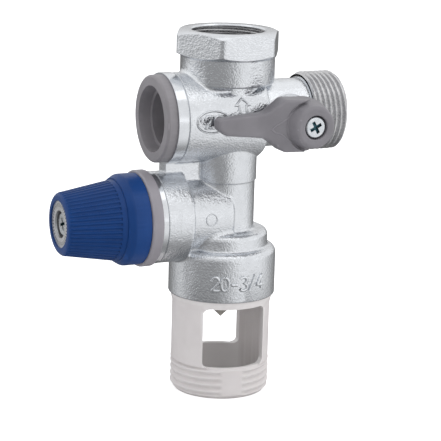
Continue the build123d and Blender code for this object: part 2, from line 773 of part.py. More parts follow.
def diaphragm():
    """Rubber diaphragm that keeps water out of the spring housing, with one rolled bead."""
    bead_outside = (shutter_neck + case_thread) / 2 + 2 * diaphragm_bead
    bead_inside = bead_outside - 4 * diaphragm_bead
    level = relief_shoulder
    top = level + diaphragm_thickness
    rise = top + diaphragm_bead
    flank = diaphragm_bead_flank
    wider = slack
    outside = case_thread - 2 * fit_gap
    inside = spindle_diameter + 2 * fit_gap
    solid = turned([(inside, level), (bead_inside, level), (bead_inside + flank, level + diaphragm_bead),
                    (bead_outside - flank, level + diaphragm_bead), (bead_outside, level), (outside, level),
                    (outside, top), (bead_outside + wider, top), (bead_outside + wider - flank, rise),
                    (bead_inside - wider + flank, rise), (bead_inside - wider, top), (inside, top)])
    return relief_plane() * solid


def slip_washer():
    """Thin brass washer between the diaphragm's rim and the bonnet."""
    height = relief_shoulder + diaphragm_thickness + face_gap
    ring = tube(case_thread - 2 * fit_gap, washer_bore, washer_thickness)
    return relief_plane() * Pos(0, 0, height) * ring


def spring_cup():
    """Brass seat under the relief spring, resting on the diaphragm's hub."""
    low = relief_shoulder + diaphragm_thickness + face_gap
    flange = low + cup_boss_height
    top = flange + cup_thickness
    crown = top + cup_boss_height
    inside = spring_diameter - spring_wire - 2 * slack
    solid = turned([(0, low), (cup_boss, low), (cup_boss, flange), (cup_diameter, flange),
                    (cup_diameter, top),
                    (inside, top), (inside - cup_crown_taper, crown), (0, crown)])
    solid -= Cylinder(spindle_diameter / 2 + fit_gap, 2 * crown, align=BOTTOM)
    return relief_plane() * solid


def spring_low():
    """Height of the spring's inner end."""
    return relief_shoulder + diaphragm_thickness + face_gap + cup_boss_height + cup_thickness


def spring_high():
    """Height of the spring's outer end, under the adjusting nut."""
    return bonnet_tube_end - slack - nut_length


def relief_spring():
    """Spring that sets the opening pressure."""
    spring = coil(spring_diameter / 2, spring_wire, spring_coils, spring_high() - spring_low())
    return relief_plane() * Pos(0, 0, spring_low()) * spring


def adjusting_nut():
    """Slotted brass nut screwed into the bonnet to set the spring."""
    nut = tube(bonnet_bore - 2 * fit_gap, nut_bore, nut_length)
    slot = Box(nut_slot, bonnet_bore, nut_length / 2)
    nut -= Pos(0, 0, nut_length * 0.75) * slot
    return relief_plane() * Pos(0, 0, spring_high()) * nut


def relief_spindle():
    """Steel spindle from the shutter to the knob, tapped for the knob's screw."""
    low = relief_seat_face + face_gap + seal_thickness + fit_gap
    solid = turned([(0, low), (spindle_head, low), (spindle_head, low + spindle_head_thickness),
                    (spindle_diameter, low + spindle_head_thickness), (spindle_diameter, knob_seat),
                    (0, knob_seat)])
    depth = knob_screw_length
    solid -= Pos(0, 0, knob_seat - depth) * Cylinder(knob_screw_shank / 2 + fit_gap, depth, align=BOTTOM)
    return relief_plane() * solid


def bonnet():
    """Moulded spring housing: screwed skirt, outer ring, tube for the spring and three lifting cams."""
    low = relief_shoulder + diaphragm_thickness + face_gap + washer_thickness + face_gap
    ring_start = -x_case_face
    ring_end = -x_bonnet_face
    thread = case_thread - 2 * fit_gap
    solid = turned([(washer_bore, low), (thread, low), (thread, ring_start), (bonnet_ring, ring_start),
                    (bonnet_ring, ring_end), (bonnet_tube, ring_end), (bonnet_tube, bonnet_tube_end),
                    (bonnet_bore, bonnet_tube_end), (bonnet_bore, ring_start), (washer_bore, ring_start)],
                   [(bonnet_ring, ring_end, bonnet_edge), (bonnet_ring, ring_start, bonnet_edge)])
    for ramp in ring_copies(cam_ramp(ring_end), cam_count):
        solid += ramp
    return relief_plane() * solid


def cam_ramp(face):
    """One ramp on the bonnet, flat on top, that climbs by the relief lift over the cam's turn."""
    half_turn = cam_turn / 2
    slope = relief_lift / 2 / math.sin(math.radians(half_turn)) / cam_radius
    tall = cam_foot + relief_lift + overlap
    ring = tube(2 * cam_radius + cam_width, 2 * cam_radius - cam_width, tall)
    spread = half_turn + cam_lead
    reach = 2 * cam_radius
    wedge = make_face(Polyline((0, 0), (reach * math.cos(math.radians(spread)),
                                        -reach * math.sin(math.radians(spread))),
                               (reach, 0), (reach * math.cos(math.radians(spread)),
                                            reach * math.sin(math.radians(spread))), close=True))
    sector = ring & extrude(wedge, tall)
    middle = cam_foot + relief_lift / 2
    tilt = math.degrees(math.atan(slope))
    block = Box(4 * reach, 4 * reach, 4 * tall, align=BOTTOM)
    sector -= Pos(0, 0, middle) * Rot(tilt, 0, 0) * block
    return Pos(0, 0, face) * Rot(0, 0, half_turn) * sector


def knob():
    """Moulded knob: plain collar, fluted taper, recessed end and three noses that ride on the cams."""
    start = -x_bonnet_face + knob_gap
    shoulder = start + knob_collar_width
    crown = knob_root + 2 * knob_fillet
    solid = turned([(0, start), (knob_collar, start), (knob_collar, shoulder - knob_collar_round),
                    (crown, shoulder), (knob_root, shoulder), (knob_tip, knob_cone_end), (knob_tip, knob_end),
                    (0, knob_end)],
                   [(knob_collar, shoulder - knob_collar_round, knob_collar_round),
                    (crown, shoulder, knob_fillet), (knob_tip, knob_end, knob_end_round)])
    taper = math.atan((knob_root - knob_tip) / 2 / (knob_cone_end - shoulder))
    flute_radius = (knob_root - 2 * (flute_start - shoulder) * math.tan(taper)) / 2
    axis_radius = flute_radius + flute_diameter / 2 - flute_depth
    length = (knob_end - flute_start) / math.cos(taper) + overlap
    cutter = Pos(axis_radius, 0, flute_start) * Rot(0, -math.degrees(taper), 0) * Cylinder(
        flute_diameter / 2, length, align=BOTTOM)
    solid -= ring_copies(cutter, knob_flutes)
    solid -= turned([(0, start), (knob_collar_bore, start), (knob_collar_bore, knob_step),
                     (knob_bore, knob_step), (knob_bore, knob_floor), (0, knob_floor)])
    label_floor = knob_end - label_sink - label_thickness
    solid -= Pos(0, 0, label_floor) * Cylinder(label_diameter / 2 + fit_gap, knob_end, align=BOTTOM)
    solid -= Pos(0, 0, knob_seat + fit_gap) * Cylinder(label_bore / 2, knob_end, align=BOTTOM)
    spindle_hole = Cylinder(spindle_diameter / 2 + fit_gap, knob_end, align=BOTTOM)
    solid -= Pos(0, 0, knob_floor - overlap) * spindle_hole
    nose_tip = start - knob_gap + cam_foot + nose_gap
    nose = nose_shape(nose_tip, knob_step)
    for piece in ring_copies(nose, cam_count):
        solid += piece
    return relief_plane() * solid


def nose_shape(tip, root):
    """One round-ended nose inside the knob, lying along the radius."""
    radius = nose_diameter / 2
    inner = cam_radius - cam_width / 2
    outer = knob_collar_bore / 2 + nose_root
    height = root + nose_root - tip - radius
    post = Pos(inner, 0, tip + radius) * Box(outer - inner, nose_diameter, height,
                                             align=(Align.MIN, Align.CENTER, Align.MIN))
    end = rod(nose_diameter, (inner, 0, tip + radius), RIGHT, outer - inner)
    return post + end


def knob_label():
    """Thin metal disc in the knob's end."""
    ring = tube(label_diameter, label_bore, label_thickness)
    return relief_plane() * Pos(0, 0, knob_end - label_sink - label_thickness) * ring


def knob_screw():
    """Screw that fixes the knob to the spindle."""
    low = knob_seat - knob_screw_length + slack
    seat = knob_seat + fit_gap
    top = seat + knob_screw_head_height
    screw = turned([(0, low), (knob_screw_shank, low), (knob_screw_shank, seat), (knob_screw_head, seat),
                    (knob_screw_head, top), (0, top)], [(knob_screw_head, top, knob_screw_head_round)])
    cross = Box(knob_screw_cross_length, knob_screw_cross, knob_screw_head_height)
    cross += Box(knob_screw_cross, knob_screw_cross_length, knob_screw_head_height)
    screw -= Pos(0, 0, top) * Rot(0, 0, knob_screw_cross_turn) * cross
    return relief_plane() * screw


def window_cutter():
    """Rounded window through the drain funnel's wall, drawn on the front."""
    half_width = funnel_diameter / 2 * math.sin(math.radians(window_angle / 2))
    plate = Rectangle(2 * half_width, window_height)
    plate = fillet(plate.vertices(), window_round)
    middle = z_collar_end - window_top - window_height / 2
    hole = Plane(origin=(0, 0, middle), x_dir=RIGHT, z_dir=FRONT) * extrude(plate, funnel_diameter)
    return hole


def tundish():
    """Moulded drain funnel with its neck, two air windows and G 1 male thread."""
    neck = collar_bore - 2 * fit_gap
    thread_start = z_rim + funnel_rim_height + funnel_thread_length
    z_neck_top = z_collar_end + funnel_neck_height
    solid = turned([(0, z_neck_top), (neck, z_neck_top), (neck, z_collar_end), (funnel_flare, z_collar_end),
                    (funnel_diameter, z_collar_end - funnel_flare_height), (funnel_diameter, thread_start),
                    (funnel_thread, thread_start), (funnel_thread, z_rim + funnel_rim_height),
                    (funnel_rim, z_rim), (0, z_rim)],
                   [(funnel_diameter, z_collar_end - funnel_flare_height, funnel_flare_round)])
    solid -= turned([(0, z_neck_top), (funnel_neck_bore, z_neck_top), (funnel_neck_bore, z_collar_end),
                     (funnel_bore, z_collar_end - window_top / 2), (funnel_bore, z_rim), (0, z_rim)])
    groove = tube(neck, neck - 2 * funnel_ring_wire, funnel_ring_wire)
    solid -= Pos(0, 0, z_neck_top - funnel_ring_drop) * groove
    for side in (0, 180):
        solid -= Rot(0, 0, window_turn + side) * window_cutter()
    return solid


def tundish_oring():
    """Rubber ring that holds and seals the drain funnel in the collar."""
    neck = collar_bore - 2 * fit_gap
    height = z_collar_end + funnel_neck_height - funnel_ring_drop + funnel_ring_wire / 2
    return Pos(0, 0, height) * sealing_ring(neck - 2 * funnel_ring_wire, collar_bore, funnel_ring_wire)


def drip_guide():
    """Moulded insert in the funnel's neck that gathers the discharge on a pointed drip cone."""
    top = z_collar_end + funnel_neck_height + face_gap + guide_flange_thickness
    flange_bottom = top - guide_flange_thickness
    ring_outside = funnel_neck_bore - 2 * fit_gap
    ring_inside = ring_outside - 2 * guide_ring_wall
    solid = Pos(0, 0, flange_bottom) * tube(guide_flange, ring_inside, guide_flange_thickness)
    solid += Pos(0, 0, flange_bottom - guide_ring_height) * tube(ring_outside, ring_inside, guide_ring_height)
    tip = z_collar_end - guide_cone_tip
    shoulder = tip + guide_cone / 2
    crown = flange_bottom - overlap
    solid += turned([(0, crown), (guide_cone_neck, crown), (guide_cone, shoulder + guide_cone_rim),
                     (guide_cone, shoulder), (0, tip)])
    rib_length = ring_outside / 2 - guide_ring_wall / 2
    rib = Box(rib_length, guide_rib_thickness, guide_ring_height, align=(Align.MIN, Align.CENTER, Align.MIN))
    rib = Pos(0, 0, flange_bottom - guide_ring_height) * rib
    for piece in ring_copies(rib, guide_ribs):
        solid += Rot(0, 0, 45) * piece
    return solid


NODES = {
    "body": body,
    "ball": ball,
    "ball_seat_inner": lambda: ball_seat(-1),
    "ball_seat_outer": lambda: ball_seat(1),
    "ball_retainer": ball_retainer,
    "ball_stem": ball_stem,
    "stem_oring_inner": lambda: stem_oring(0),
    "stem_oring_outer": lambda: stem_oring(1),
    "handle": handle,
    "handle_screw": handle_screw,
    "check_housing": check_housing,
    "check_poppet": check_poppet,
    "check_seal": check_seal,
    "check_spring": check_spring,
    "check_oring": check_oring,
    "inspection_plug": inspection_plug,
    "plug_oring": plug_oring,
    "relief_seal": relief_seal,
    "relief_shutter": relief_shutter,
    "diaphragm": diaphragm,
    "slip_washer": slip_washer,
    "spring_cup": spring_cup,
    "relief_spring": relief_spring,
    "adjusting_nut": adjusting_nut,
    "relief_spindle": relief_spindle,
    "bonnet": bonnet,
    "knob": knob,
    "knob_label": knob_label,
    "knob_screw": knob_screw,
    "tundish": tundish,
    "tundish_oring": tundish_oring,
    "drip_guide": drip_guide,
}

os.makedirs("parts", exist_ok=True)
for name, make in NODES.items():
    shape = make()
    export_step(shape, "parts/" + name + ".step")
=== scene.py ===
import json
import math

import bmesh
import bpy
from mathutils import Matrix, Vector
from mathutils.bvhtree import BVHTree


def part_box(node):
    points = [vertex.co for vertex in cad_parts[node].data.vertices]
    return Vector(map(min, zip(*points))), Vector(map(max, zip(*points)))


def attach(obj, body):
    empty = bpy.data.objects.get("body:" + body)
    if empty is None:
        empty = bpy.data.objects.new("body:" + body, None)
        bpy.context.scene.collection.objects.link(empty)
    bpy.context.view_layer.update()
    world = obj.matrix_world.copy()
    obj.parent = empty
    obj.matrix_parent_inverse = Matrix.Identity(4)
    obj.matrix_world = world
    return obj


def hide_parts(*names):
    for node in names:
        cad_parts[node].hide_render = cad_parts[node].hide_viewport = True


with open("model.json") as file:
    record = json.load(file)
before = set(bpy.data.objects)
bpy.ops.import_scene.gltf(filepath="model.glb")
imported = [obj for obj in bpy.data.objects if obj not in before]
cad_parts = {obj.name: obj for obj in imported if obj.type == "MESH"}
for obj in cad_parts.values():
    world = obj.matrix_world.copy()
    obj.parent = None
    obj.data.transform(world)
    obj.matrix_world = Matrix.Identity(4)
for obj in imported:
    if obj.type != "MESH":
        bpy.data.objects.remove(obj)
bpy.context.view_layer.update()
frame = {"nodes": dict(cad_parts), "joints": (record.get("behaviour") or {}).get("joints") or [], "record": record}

# The forging: hexagon socket, neck, barrel, inlet pipe, column, relief case and collar in one piece
# of brass, hot forged, shot blasted and then plated with chrome. Flange, relief rim, hexagon end and
# threads are turned after forging, so they are smoother than the grainy skin.
MM = 0.001
MICROMETRE = 6                   # decimals of a metre
joint_place = {joint["name"]: joint["pos_m"] for joint in frame["joints"] if "pos_m" in joint}
mount_radius = {mount["name"]: mount["dims"]["r_mm"] * MM for mount in frame["record"]["mounts"]}
forging_low, forging_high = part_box("body")
PIPE_Z = joint_place["lever_turn"][2]
THREAD_DEPTH = 1.16 * MM
INLET_CREST = mount_radius["cold_inlet"]
INLET_ROOT = INLET_CREST - THREAD_DEPTH
INLET_BED = 0.35 * MM            # how far the thread's bed is cut below its root
INLET_THREAD_LENGTH = 12.4 * MM
INLET_END = round(forging_high.x, MICROMETRE)
INLET_THREAD_START = INLET_END - INLET_THREAD_LENGTH
SOCKET_CREST = mount_radius["heater_socket"]
SOCKET_ROOT = SOCKET_CREST + THREAD_DEPTH
SOCKET_BED = 0.30 * MM
SOCKET_MOUTH_BEVEL = 0.56 * MM
SOCKET_THREAD_TOP = -SOCKET_MOUTH_BEVEL
SOCKET_THREAD_END = -14.2 * MM
FLANGE_X = -19.3 * MM
FLANGE_FOOT_Z = PIPE_Z - 16 * MM
RELIEF_RIM_X = forging_low.x + 2.0 * MM
HEXAGON_BEVEL_Z = -1.25 * MM
SOCKET_TURNED_Z = -16 * MM
SOCKET_WALL_SKIN = 1.0 * MM      # how far past its root the socket's wall counts as turned
TURNED_EDGE = 0.2 * MM           # faces this near a turned one are turned too
PAST = 1.0 * MM                  # how far a cutter runs past what it cuts
HAIR = 0.02 * MM                 # keeps two faces from lying in one plane
WELD = 0.00005 * MM              # joins only corners that are one and the same
NOISE_LOW = 0.3
NOISE_HIGH = 0.7


def finish_named(name):
    """A new material: its node tree and the shader that makes its surface."""
    material = bpy.data.materials.new(name)
    material.use_nodes = True
    tree = material.node_tree
    shader = tree.nodes["Principled BSDF"]
    return material, tree, shader


def add_node(tree, kind, settings=None, *values, **named):
    """One shader node; its inputs are given in order or by name, each as a value or as a link."""
    node = tree.nodes.new(kind)
    for key, value in (settings or {}).items():
        setattr(node, key, value)
    given = list(zip(node.inputs, values))
    given += [(node.inputs[key.replace("_", " ")], value) for key, value in named.items()]
    for socket, value in given:
        if isinstance(value, bpy.types.NodeSocket):
            tree.links.new(value, socket)
        else:
            socket.default_value = value
    return node


def surface(tree, shader, colour, roughness, metallic=1.0):
    """Sets a finish's colour and roughness, which vary over the piece, and how far it is metal."""
    tree.links.new(colour, shader.inputs["Base Color"])
    tree.links.new(roughness, shader.inputs["Roughness"])
    shader.inputs["Metallic"].default_value = metallic


def lumps(tree, size, detail=3.0, rough=0.55, stretch=(1, 1, 1)):
    """Noise fixed to the piece, with features of about the given size in metres."""
    place = add_node(tree, "ShaderNodeTexCoord")
    scaled = add_node(tree, "ShaderNodeMapping", Vector=place.outputs["Object"], Scale=stretch)
    noise = add_node(tree, "ShaderNodeTexNoise", Vector=scaled.outputs["Vector"], Scale=1 / size,
                     Detail=detail, Roughness=rough)
    return noise.outputs["Fac"]


def spread(tree, value, low, high, start=NOISE_LOW, stop=NOISE_HIGH):
    """A value between start and stop spread between two other numbers."""
    node = add_node(tree, "ShaderNodeMapRange", Value=value, From_Min=start, From_Max=stop, To_Min=low,
                    To_Max=high)
    return node.outputs["Result"]


def shades(tree, value, dark, light):
    """A colour that a noise moves between two others."""
    ramp = add_node(tree, "ShaderNodeValToRGB", Fac=value)
    ramp.color_ramp.elements[0].position = NOISE_LOW
    ramp.color_ramp.elements[0].color = (*dark, 1)
    ramp.color_ramp.elements[1].position = NOISE_HIGH
    ramp.color_ramp.elements[1].color = (*light, 1)
    return ramp.outputs["Color"]


def relief(tree, shader, heights, edge=None):
    """Bump from a chain of (height, depth in metres) pairs; edge rounds sharp edges by that radius."""
    normal = None
    if edge:
        normal = add_node(tree, "ShaderNodeBevel", {"samples": 6}, Radius=edge).outputs["Normal"]
    for height, depth in heights:
        bump = add_node(tree, "ShaderNodeBump", Height=height, Strength=1.0, Distance=depth)
        if normal:
            tree.links.new(normal, bump.inputs["Normal"])
        normal = bump.outputs["Normal"]
    tree.links.new(normal, shader.inputs["Normal"])


def plated_forging():
    """Chrome over the blasted skin of the forging."""
    material, tree, shader = finish_named("plated_forging")
    broad = lumps(tree, 3.0 * MM, 2.0)
    skin = lumps(tree, 1.0 * MM, 2.0, 0.5)
    grit = lumps(tree, 0.55 * MM, 2.0, 0.5)
    colour = shades(tree, broad, (0.68, 0.70, 0.73), (0.72, 0.74, 0.77))
    surface(tree, shader, colour, spread(tree, grit, 0.08, 0.15))
    relief(tree, shader, [(broad, 0.10 * MM), (skin, 0.07 * MM), (grit, 0.16 * MM)], 0.5 * MM)
    return material


def plated_turned():
    """Chrome over a turned face, with faint tool marks."""
    material, tree, shader = finish_named("plated_turned")
    broad = lumps(tree, 3.0 * MM, 2.0)
    marks = lumps(tree, 0.25 * MM, 2.0)
    colour = shades(tree, broad, (0.67, 0.69, 0.72), (0.72, 0.74, 0.77))
    surface(tree, shader, colour, spread(tree, marks, 0.13, 0.22))
    relief(tree, shader, [(broad, 0.03 * MM), (marks, 0.008 * MM)], 0.2 * MM)
    return material


def copy_of(node, name):
    """A welded copy of a CAD node's mesh as a new piece."""
    mesh = frame["nodes"][node].data.copy()
    piece = bpy.data.objects.new(name, mesh)
    bpy.context.scene.collection.objects.link(piece)
    shell = bmesh.new()
    shell.from_mesh(mesh)
    bmesh.ops.remove_doubles(shell, verts=shell.verts, dist=WELD)
    shell.to_mesh(mesh)
    shell.free()
    if "custom_normal" in mesh.attributes:
        mesh.attributes.remove(mesh.attributes["custom_normal"])
    return piece


def circle(radius, height, turns=96):
    """Places round a circle about Z."""
    angles = [2 * math.pi * i / turns for i in range(turns)]
    return [(radius * math.cos(angle), radius * math.sin(angle), height) for angle in angles]


def mesh_of_rings(name, rings):
    """Closed mesh through rings of places, the last ring joined to the first."""
    shell = bmesh.new()
    grid = [[shell.verts.new(place) for place in ring] for ring in rings]
    turns = len(grid[0])
    for here, there in zip(grid, grid[1:] + grid[:1]):
        for i in range(turns):
            j = (i + 1) % turns
            shell.faces.new((here[i], here[j], there[j], there[i]))
    bmesh.ops.recalc_face_normals(shell, faces=shell.faces)
    mesh = bpy.data.meshes.new(name)
    shell.to_mesh(mesh)
    shell.free()
    return mesh


def sleeve(name, rows):
    """Closed sleeve about Z through (radius, height) rows, to cut with."""
    return mesh_of_rings(name, [circle(radius, height) for radius, height in rows])


def carve(piece, cutters):
    """Cuts each mesh out of the piece for good."""
    for cutter in cutters:
        tool = bpy.data.objects.new("cutter", cutter)
        bpy.context.scene.collection.objects.link(tool)
        cut = piece.modifiers.new("cut", "BOOLEAN")
        cut.operation = "DIFFERENCE"
        cut.solver = "EXACT"
        cut.object = tool
        done = bpy.data.meshes.new_from_object(piece.evaluated_get(bpy.context.evaluated_depsgraph_get()))
        piece.modifiers.remove(cut)
        piece.data = done
        bpy.data.objects.remove(tool)


def smooth_by_angle(mesh, limit=32):
    """Smooth faces with sharp edges wherever the surface turns by more than the limit in degrees."""
    shell = bmesh.new()
    shell.from_mesh(mesh)
    for face in shell.faces:
        face.smooth = True
    for edge in shell.edges:
        edge.smooth = edge.is_manifold and edge.calc_face_angle(0) < math.radians(limit)
    shell.to_mesh(mesh)
    shell.free()


def turn_to(mesh, origin, direction):
    """Stands a mesh that was made about Z on an origin, along a direction."""
    swing = Vector((0, 0, 1)).rotation_difference(Vector(direction)).to_matrix().to_4x4()
    mesh.transform(Matrix.Translation(origin) @ swing)
    return mesh


def coat(piece, *materials):
    """Gives a piece its materials in place of any that came with its mesh."""
    piece.data.materials.clear()
    for material in materials:
        piece.data.materials.append(material)


def is_turned(face):
    """Whether a face of the forging was machined after forging."""
    x, y, z = face.center
    on_flange = x < FLANGE_X + TURNED_EDGE and z > FLANGE_FOOT_Z
    on_rim = x < RELIEF_RIM_X + TURNED_EDGE
    on_inlet = x > INLET_THREAD_START - TURNED_EDGE
    on_end = z > HEXAGON_BEVEL_Z
    in_socket = math.hypot(x, y) < SOCKET_ROOT + SOCKET_WALL_SKIN and z > SOCKET_TURNED_Z
    return on_flange or on_rim or on_inlet or on_end or in_socket


FORGED = plated_forging()
TURNED = plated_turned()
forging = copy_of("body", "body_forging")
inlet_sleeve = turn_to(sleeve("inlet_sleeve", [
    (INLET_ROOT - INLET_BED, HAIR), (INLET_CREST + PAST, HAIR),
    (INLET_CREST + PAST, INLET_THREAD_LENGTH + PAST), (INLET_ROOT - INLET_BED, INLET_THREAD_LENGTH + PAST)]),
    (INLET_THREAD_START, 0, PIPE_Z), (1, 0, 0))
socket_sleeve = sleeve("socket_sleeve", [
    (SOCKET_CREST - PAST, SOCKET_THREAD_END), (SOCKET_ROOT + SOCKET_BED, SOCKET_THREAD_END),
    (SOCKET_ROOT + SOCKET_BED, SOCKET_THREAD_TOP), (SOCKET_CREST + HAIR, SOCKET_THREAD_TOP),
    (SOCKET_CREST + SOCKET_MOUTH_BEVEL, HAIR), (SOCKET_CREST - PAST, HAIR)])
carve(forging, [inlet_sleeve, socket_sleeve])
smooth_by_angle(forging.data)
coat(forging, FORGED, TURNED)
for face in forging.data.polygons:
    face.material_index = 1 if is_turned(face) else 0
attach(forging, "main")
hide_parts("body")

# The cut pipe threads: G 3/4 on the inlet's outside and in the heater socket, both with the rounded
# 55 degree form at 14 turns to the inch. They are cut on the plated forging's turned ends and run out
# into the metal, with the first turn bevelled away.
THREAD_PITCH = 1.814 * MM
THREAD_FLAT = 0.12               # share of a flank that is level, at root and at crest
THREAD_STEPS = 168
THREAD_ROWS = 14
THREAD_BEVEL = 0.9 * MM
SOCKET_THREAD_BEVEL = 0.25 * MM
BED_GRIP = 0.05 * MM             # how far a thread ring sinks into its bed


def thread_height(turn):
    """Height of the rounded thread form, 0 at the root and 1 at the crest, for a place in one turn."""
    rise = 1 - abs(2 * (turn % 1.0) - 1)
    flank = min(max((rise - THREAD_FLAT) / (1 - 2 * THREAD_FLAT), 0.0), 1.0)
    return 0.5 - 0.5 * math.cos(math.pi * flank)


def threaded_ring(name, root, crest, back, length, pitch, limit, keep=None):
    """Thread about Z as one closed ring; limit(height) is its bevel and keep(angle, form) the form left."""
    rows = int(length / pitch * THREAD_ROWS)
    rings = []
    for j in range(rows + 1):
        height = length * j / rows
        ring = []
        for i in range(THREAD_STEPS):
            angle = 2 * math.pi * i / THREAD_STEPS
            form = thread_height(height / pitch - i / THREAD_STEPS)
            if keep:
                form = keep(angle, form)
            radius = root + (crest - root) * form
            radius = min(radius, limit(height)) if crest > root else max(radius, limit(height))
            ring.append((radius * math.cos(angle), radius * math.sin(angle), height))
        rings.append(ring)
    rings += [circle(back, length, THREAD_STEPS), circle(back, 0.0, THREAD_STEPS)]
    mesh = mesh_of_rings(name, rings)
    smooth_by_angle(mesh, limit=50)
    return mesh


def inlet_bevel(height):
    """Outer radius that the bevels at both ends of the inlet thread leave."""
    from_end = min(height, INLET_THREAD_LENGTH - height)
    return INLET_CREST - THREAD_BEVEL + from_end


def socket_bevel(height):
    """Inner radius that the socket's mouth bevel leaves; height runs up to the mouth."""
    from_top = (SOCKET_THREAD_TOP - SOCKET_THREAD_END) - height
    return SOCKET_CREST + SOCKET_THREAD_BEVEL - from_top


def painted(tree, colour, paint, where):
    """A colour with another one laid over it where a value is 1."""
    mix = add_node(tree, "ShaderNodeMix", {"data_type": "RGBA"}, where)
    first_colour = mix.inputs[6]
    second_colour = mix.inputs[7]
    tree.links.new(colour, first_colour)
    second_colour.default_value = (*paint, 1)
    return mix.outputs[2]


def worn_and_highlit(tree, colour, bare, amount=0.5):
    """Lightens a colour along exposed edges: wear where handling rubs a surface, and a painted highlight."""
    shape = add_node(tree, "ShaderNodeNewGeometry")
    edge = spread(tree, shape.outputs["Pointiness"], 0.0, amount, start=0.52, stop=0.60)
    return painted(tree, colour, bare, edge)


def bright_thread():
    """Cut thread with plating on its crests, lightened there as wear and a painted highlight, and painted shade in
    its roots.
    """
    material, tree, shader = finish_named("bright_thread")
    wear = lumps(tree, 0.8 * MM, 3.0)
    scratches = lumps(tree, 0.12 * MM, 2.0)
    colour = shades(tree, wear, (0.46, 0.46, 0.47), (0.62, 0.62, 0.63))
    surface(tree, shader, worn_and_highlit(tree, colour, (0.74, 0.74, 0.75)), spread(tree, scratches, 0.15, 0.30))
    relief(tree, shader, [(scratches, 0.012 * MM)])
    return material


def new_piece(name, mesh, body, material):
    """A finished piece in its place, riding on its body."""
    piece = bpy.data.objects.new(name, mesh)
    bpy.context.scene.collection.objects.link(piece)
    coat(piece, material)
    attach(piece, body)
    return piece


THREAD = bright_thread()
inlet_mesh = threaded_ring("inlet_thread", INLET_ROOT, INLET_CREST, INLET_ROOT - INLET_BED - BED_GRIP,
                           INLET_THREAD_LENGTH, THREAD_PITCH, inlet_bevel)
turn_to(inlet_mesh, (INLET_THREAD_START, 0, PIPE_Z), (1, 0, 0))
new_piece("inlet_thread", inlet_mesh, "main", THREAD)
socket_mesh = threaded_ring("socket_thread", SOCKET_ROOT, SOCKET_CREST, SOCKET_ROOT + SOCKET_BED + BED_GRIP,
                            SOCKET_THREAD_TOP - SOCKET_THREAD_END, THREAD_PITCH, socket_bevel)
turn_to(socket_mesh, (0, 0, SOCKET_THREAD_END), (0, 0, 1))
new_piece("socket_thread", socket_mesh, "main", THREAD)

# Marks that the forging die leaves proud of the skin: the outline arrow for the direction of flow and
# an oval with the bore's size on the barrel, the plain thread size on the collar and a small ring on
# the relief branch. They are part of the forging and plated with it.
RELIEF_Z = joint_place["knob_turn"][2]
BARREL_RADIUS = 14.8 * MM
BRANCH_RADIUS = 12.3 * MM
COLLAR_RADIUS = 17.9 * MM
MARK_WIRE = 0.36 * MM
MARK_STEP = 0.5 * MM
ARROW_X = -0.6 * MM
ARROW_TIP = 8.0 * MM
ARROW_HEAD = 2.4 * MM
ARROW_HALF_HEAD = 2.6 * MM
ARROW_HALF_SHAFT = 1.25 * MM
ARROW_FOOT = -1.0 * MM
OVAL_X = -11.2 * MM
OVAL_UP = 0.7 * MM
OVAL_HALF_LENGTH = 5.7 * MM
OVAL_HALF_HEIGHT = 3.6 * MM
BORE_FIGURE_HEIGHT = 4.0 * MM
BORE_FIGURE_GAP = 1.0 * MM
BORE_FIGURE_WIRE = 0.48 * MM
RING_X = -9.7 * MM
RING_UP = 0.6 * MM
RING_RADIUS = 1.9 * MM
RING_WIRE = 0.24 * MM
COLLAR_MARK_Z = -81.85 * MM
COLLAR_MARK_TURN = math.radians(-5.5)
THREAD_FIGURE_HEIGHT = 4.6 * MM
THREAD_FIGURE_GAP = 0.45 * MM
THREAD_FIGURE_WIRE = 0.56 * MM
FIGURE_WIDTH = 0.6
STROKES = {
    "0": [(0.30, 1.0), (0.46, 0.93), (0.56, 0.74), (0.58, 0.5), (0.56, 0.26), (0.46, 0.07), (0.30, 0.0),
          (0.14, 0.07), (0.04, 0.26), (0.02, 0.5), (0.04, 0.74), (0.14, 0.93), (0.30, 1.0)],
    "2": [(0.03, 0.74), (0.09, 0.90), (0.22, 0.99), (0.38, 0.99), (0.52, 0.90), (0.56, 0.74), (0.49, 0.56),
          (0.02, 0.01), (0.60, 0.01)],
    "3": [(0.03, 0.86), (0.14, 0.97), (0.30, 1.0), (0.46, 0.95), (0.54, 0.79), (0.47, 0.61), (0.30, 0.53),
          (0.50, 0.45), (0.58, 0.27), (0.50, 0.08), (0.30, 0.0), (0.12, 0.03), (0.02, 0.15)],
    "4": [(0.45, 0.0), (0.45, 1.0), (0.01, 0.30), (0.62, 0.30)],
    "-": [(0.08, 0.45), (0.52, 0.45)],
    "/": [(0.06, -0.05), (0.54, 1.05)],
}


def bead(name, places, wire, closed):
    """Half-sunk round bead along places on a surface."""
    curve = bpy.data.curves.new(name, "CURVE")
    curve.dimensions = "3D"
    curve.bevel_depth = wire
    curve.bevel_resolution = 2
    line = curve.splines.new("POLY")
    line.points.add(len(places) - 1)
    for point, place in zip(line.points, places):
        point.co = (*place, 1)
    line.use_cyclic_u = closed
    holder = bpy.data.objects.new(name, curve)
    mesh = bpy.data.meshes.new_from_object(holder)
    bpy.data.objects.remove(holder)
    for face in mesh.polygons:
        face.use_smooth = True
    return mesh


def between(points, step, closed):
    """Points filled in along straight runs so that a bead can follow a curved wall."""
    ends = points[1:] + (points[:1] if closed else [])
    filled = []
    for (u0, v0), (u1, v1) in zip(points, ends):
        count = max(1, int(math.hypot(u1 - u0, v1 - v0) / step))
        for k in range(count):
            filled.append((u0 + (u1 - u0) * k / count, v0 + (v1 - v0) * k / count))
    if not closed:
        filled.append(points[-1])
    return filled


def oval(half_length, half_height, count=32):
    """Points round an ellipse."""
    angles = [2 * math.pi * k / count for k in range(count)]
    return [(half_length * math.cos(angle), half_height * math.sin(angle)) for angle in angles]


def on_pipe(radius, axis_z, along, up):
    """Place on a level pipe's front from its length and its arc above the axis."""
    angle = up / radius
    return (along, -radius * math.cos(angle), axis_z + radius * math.sin(angle))


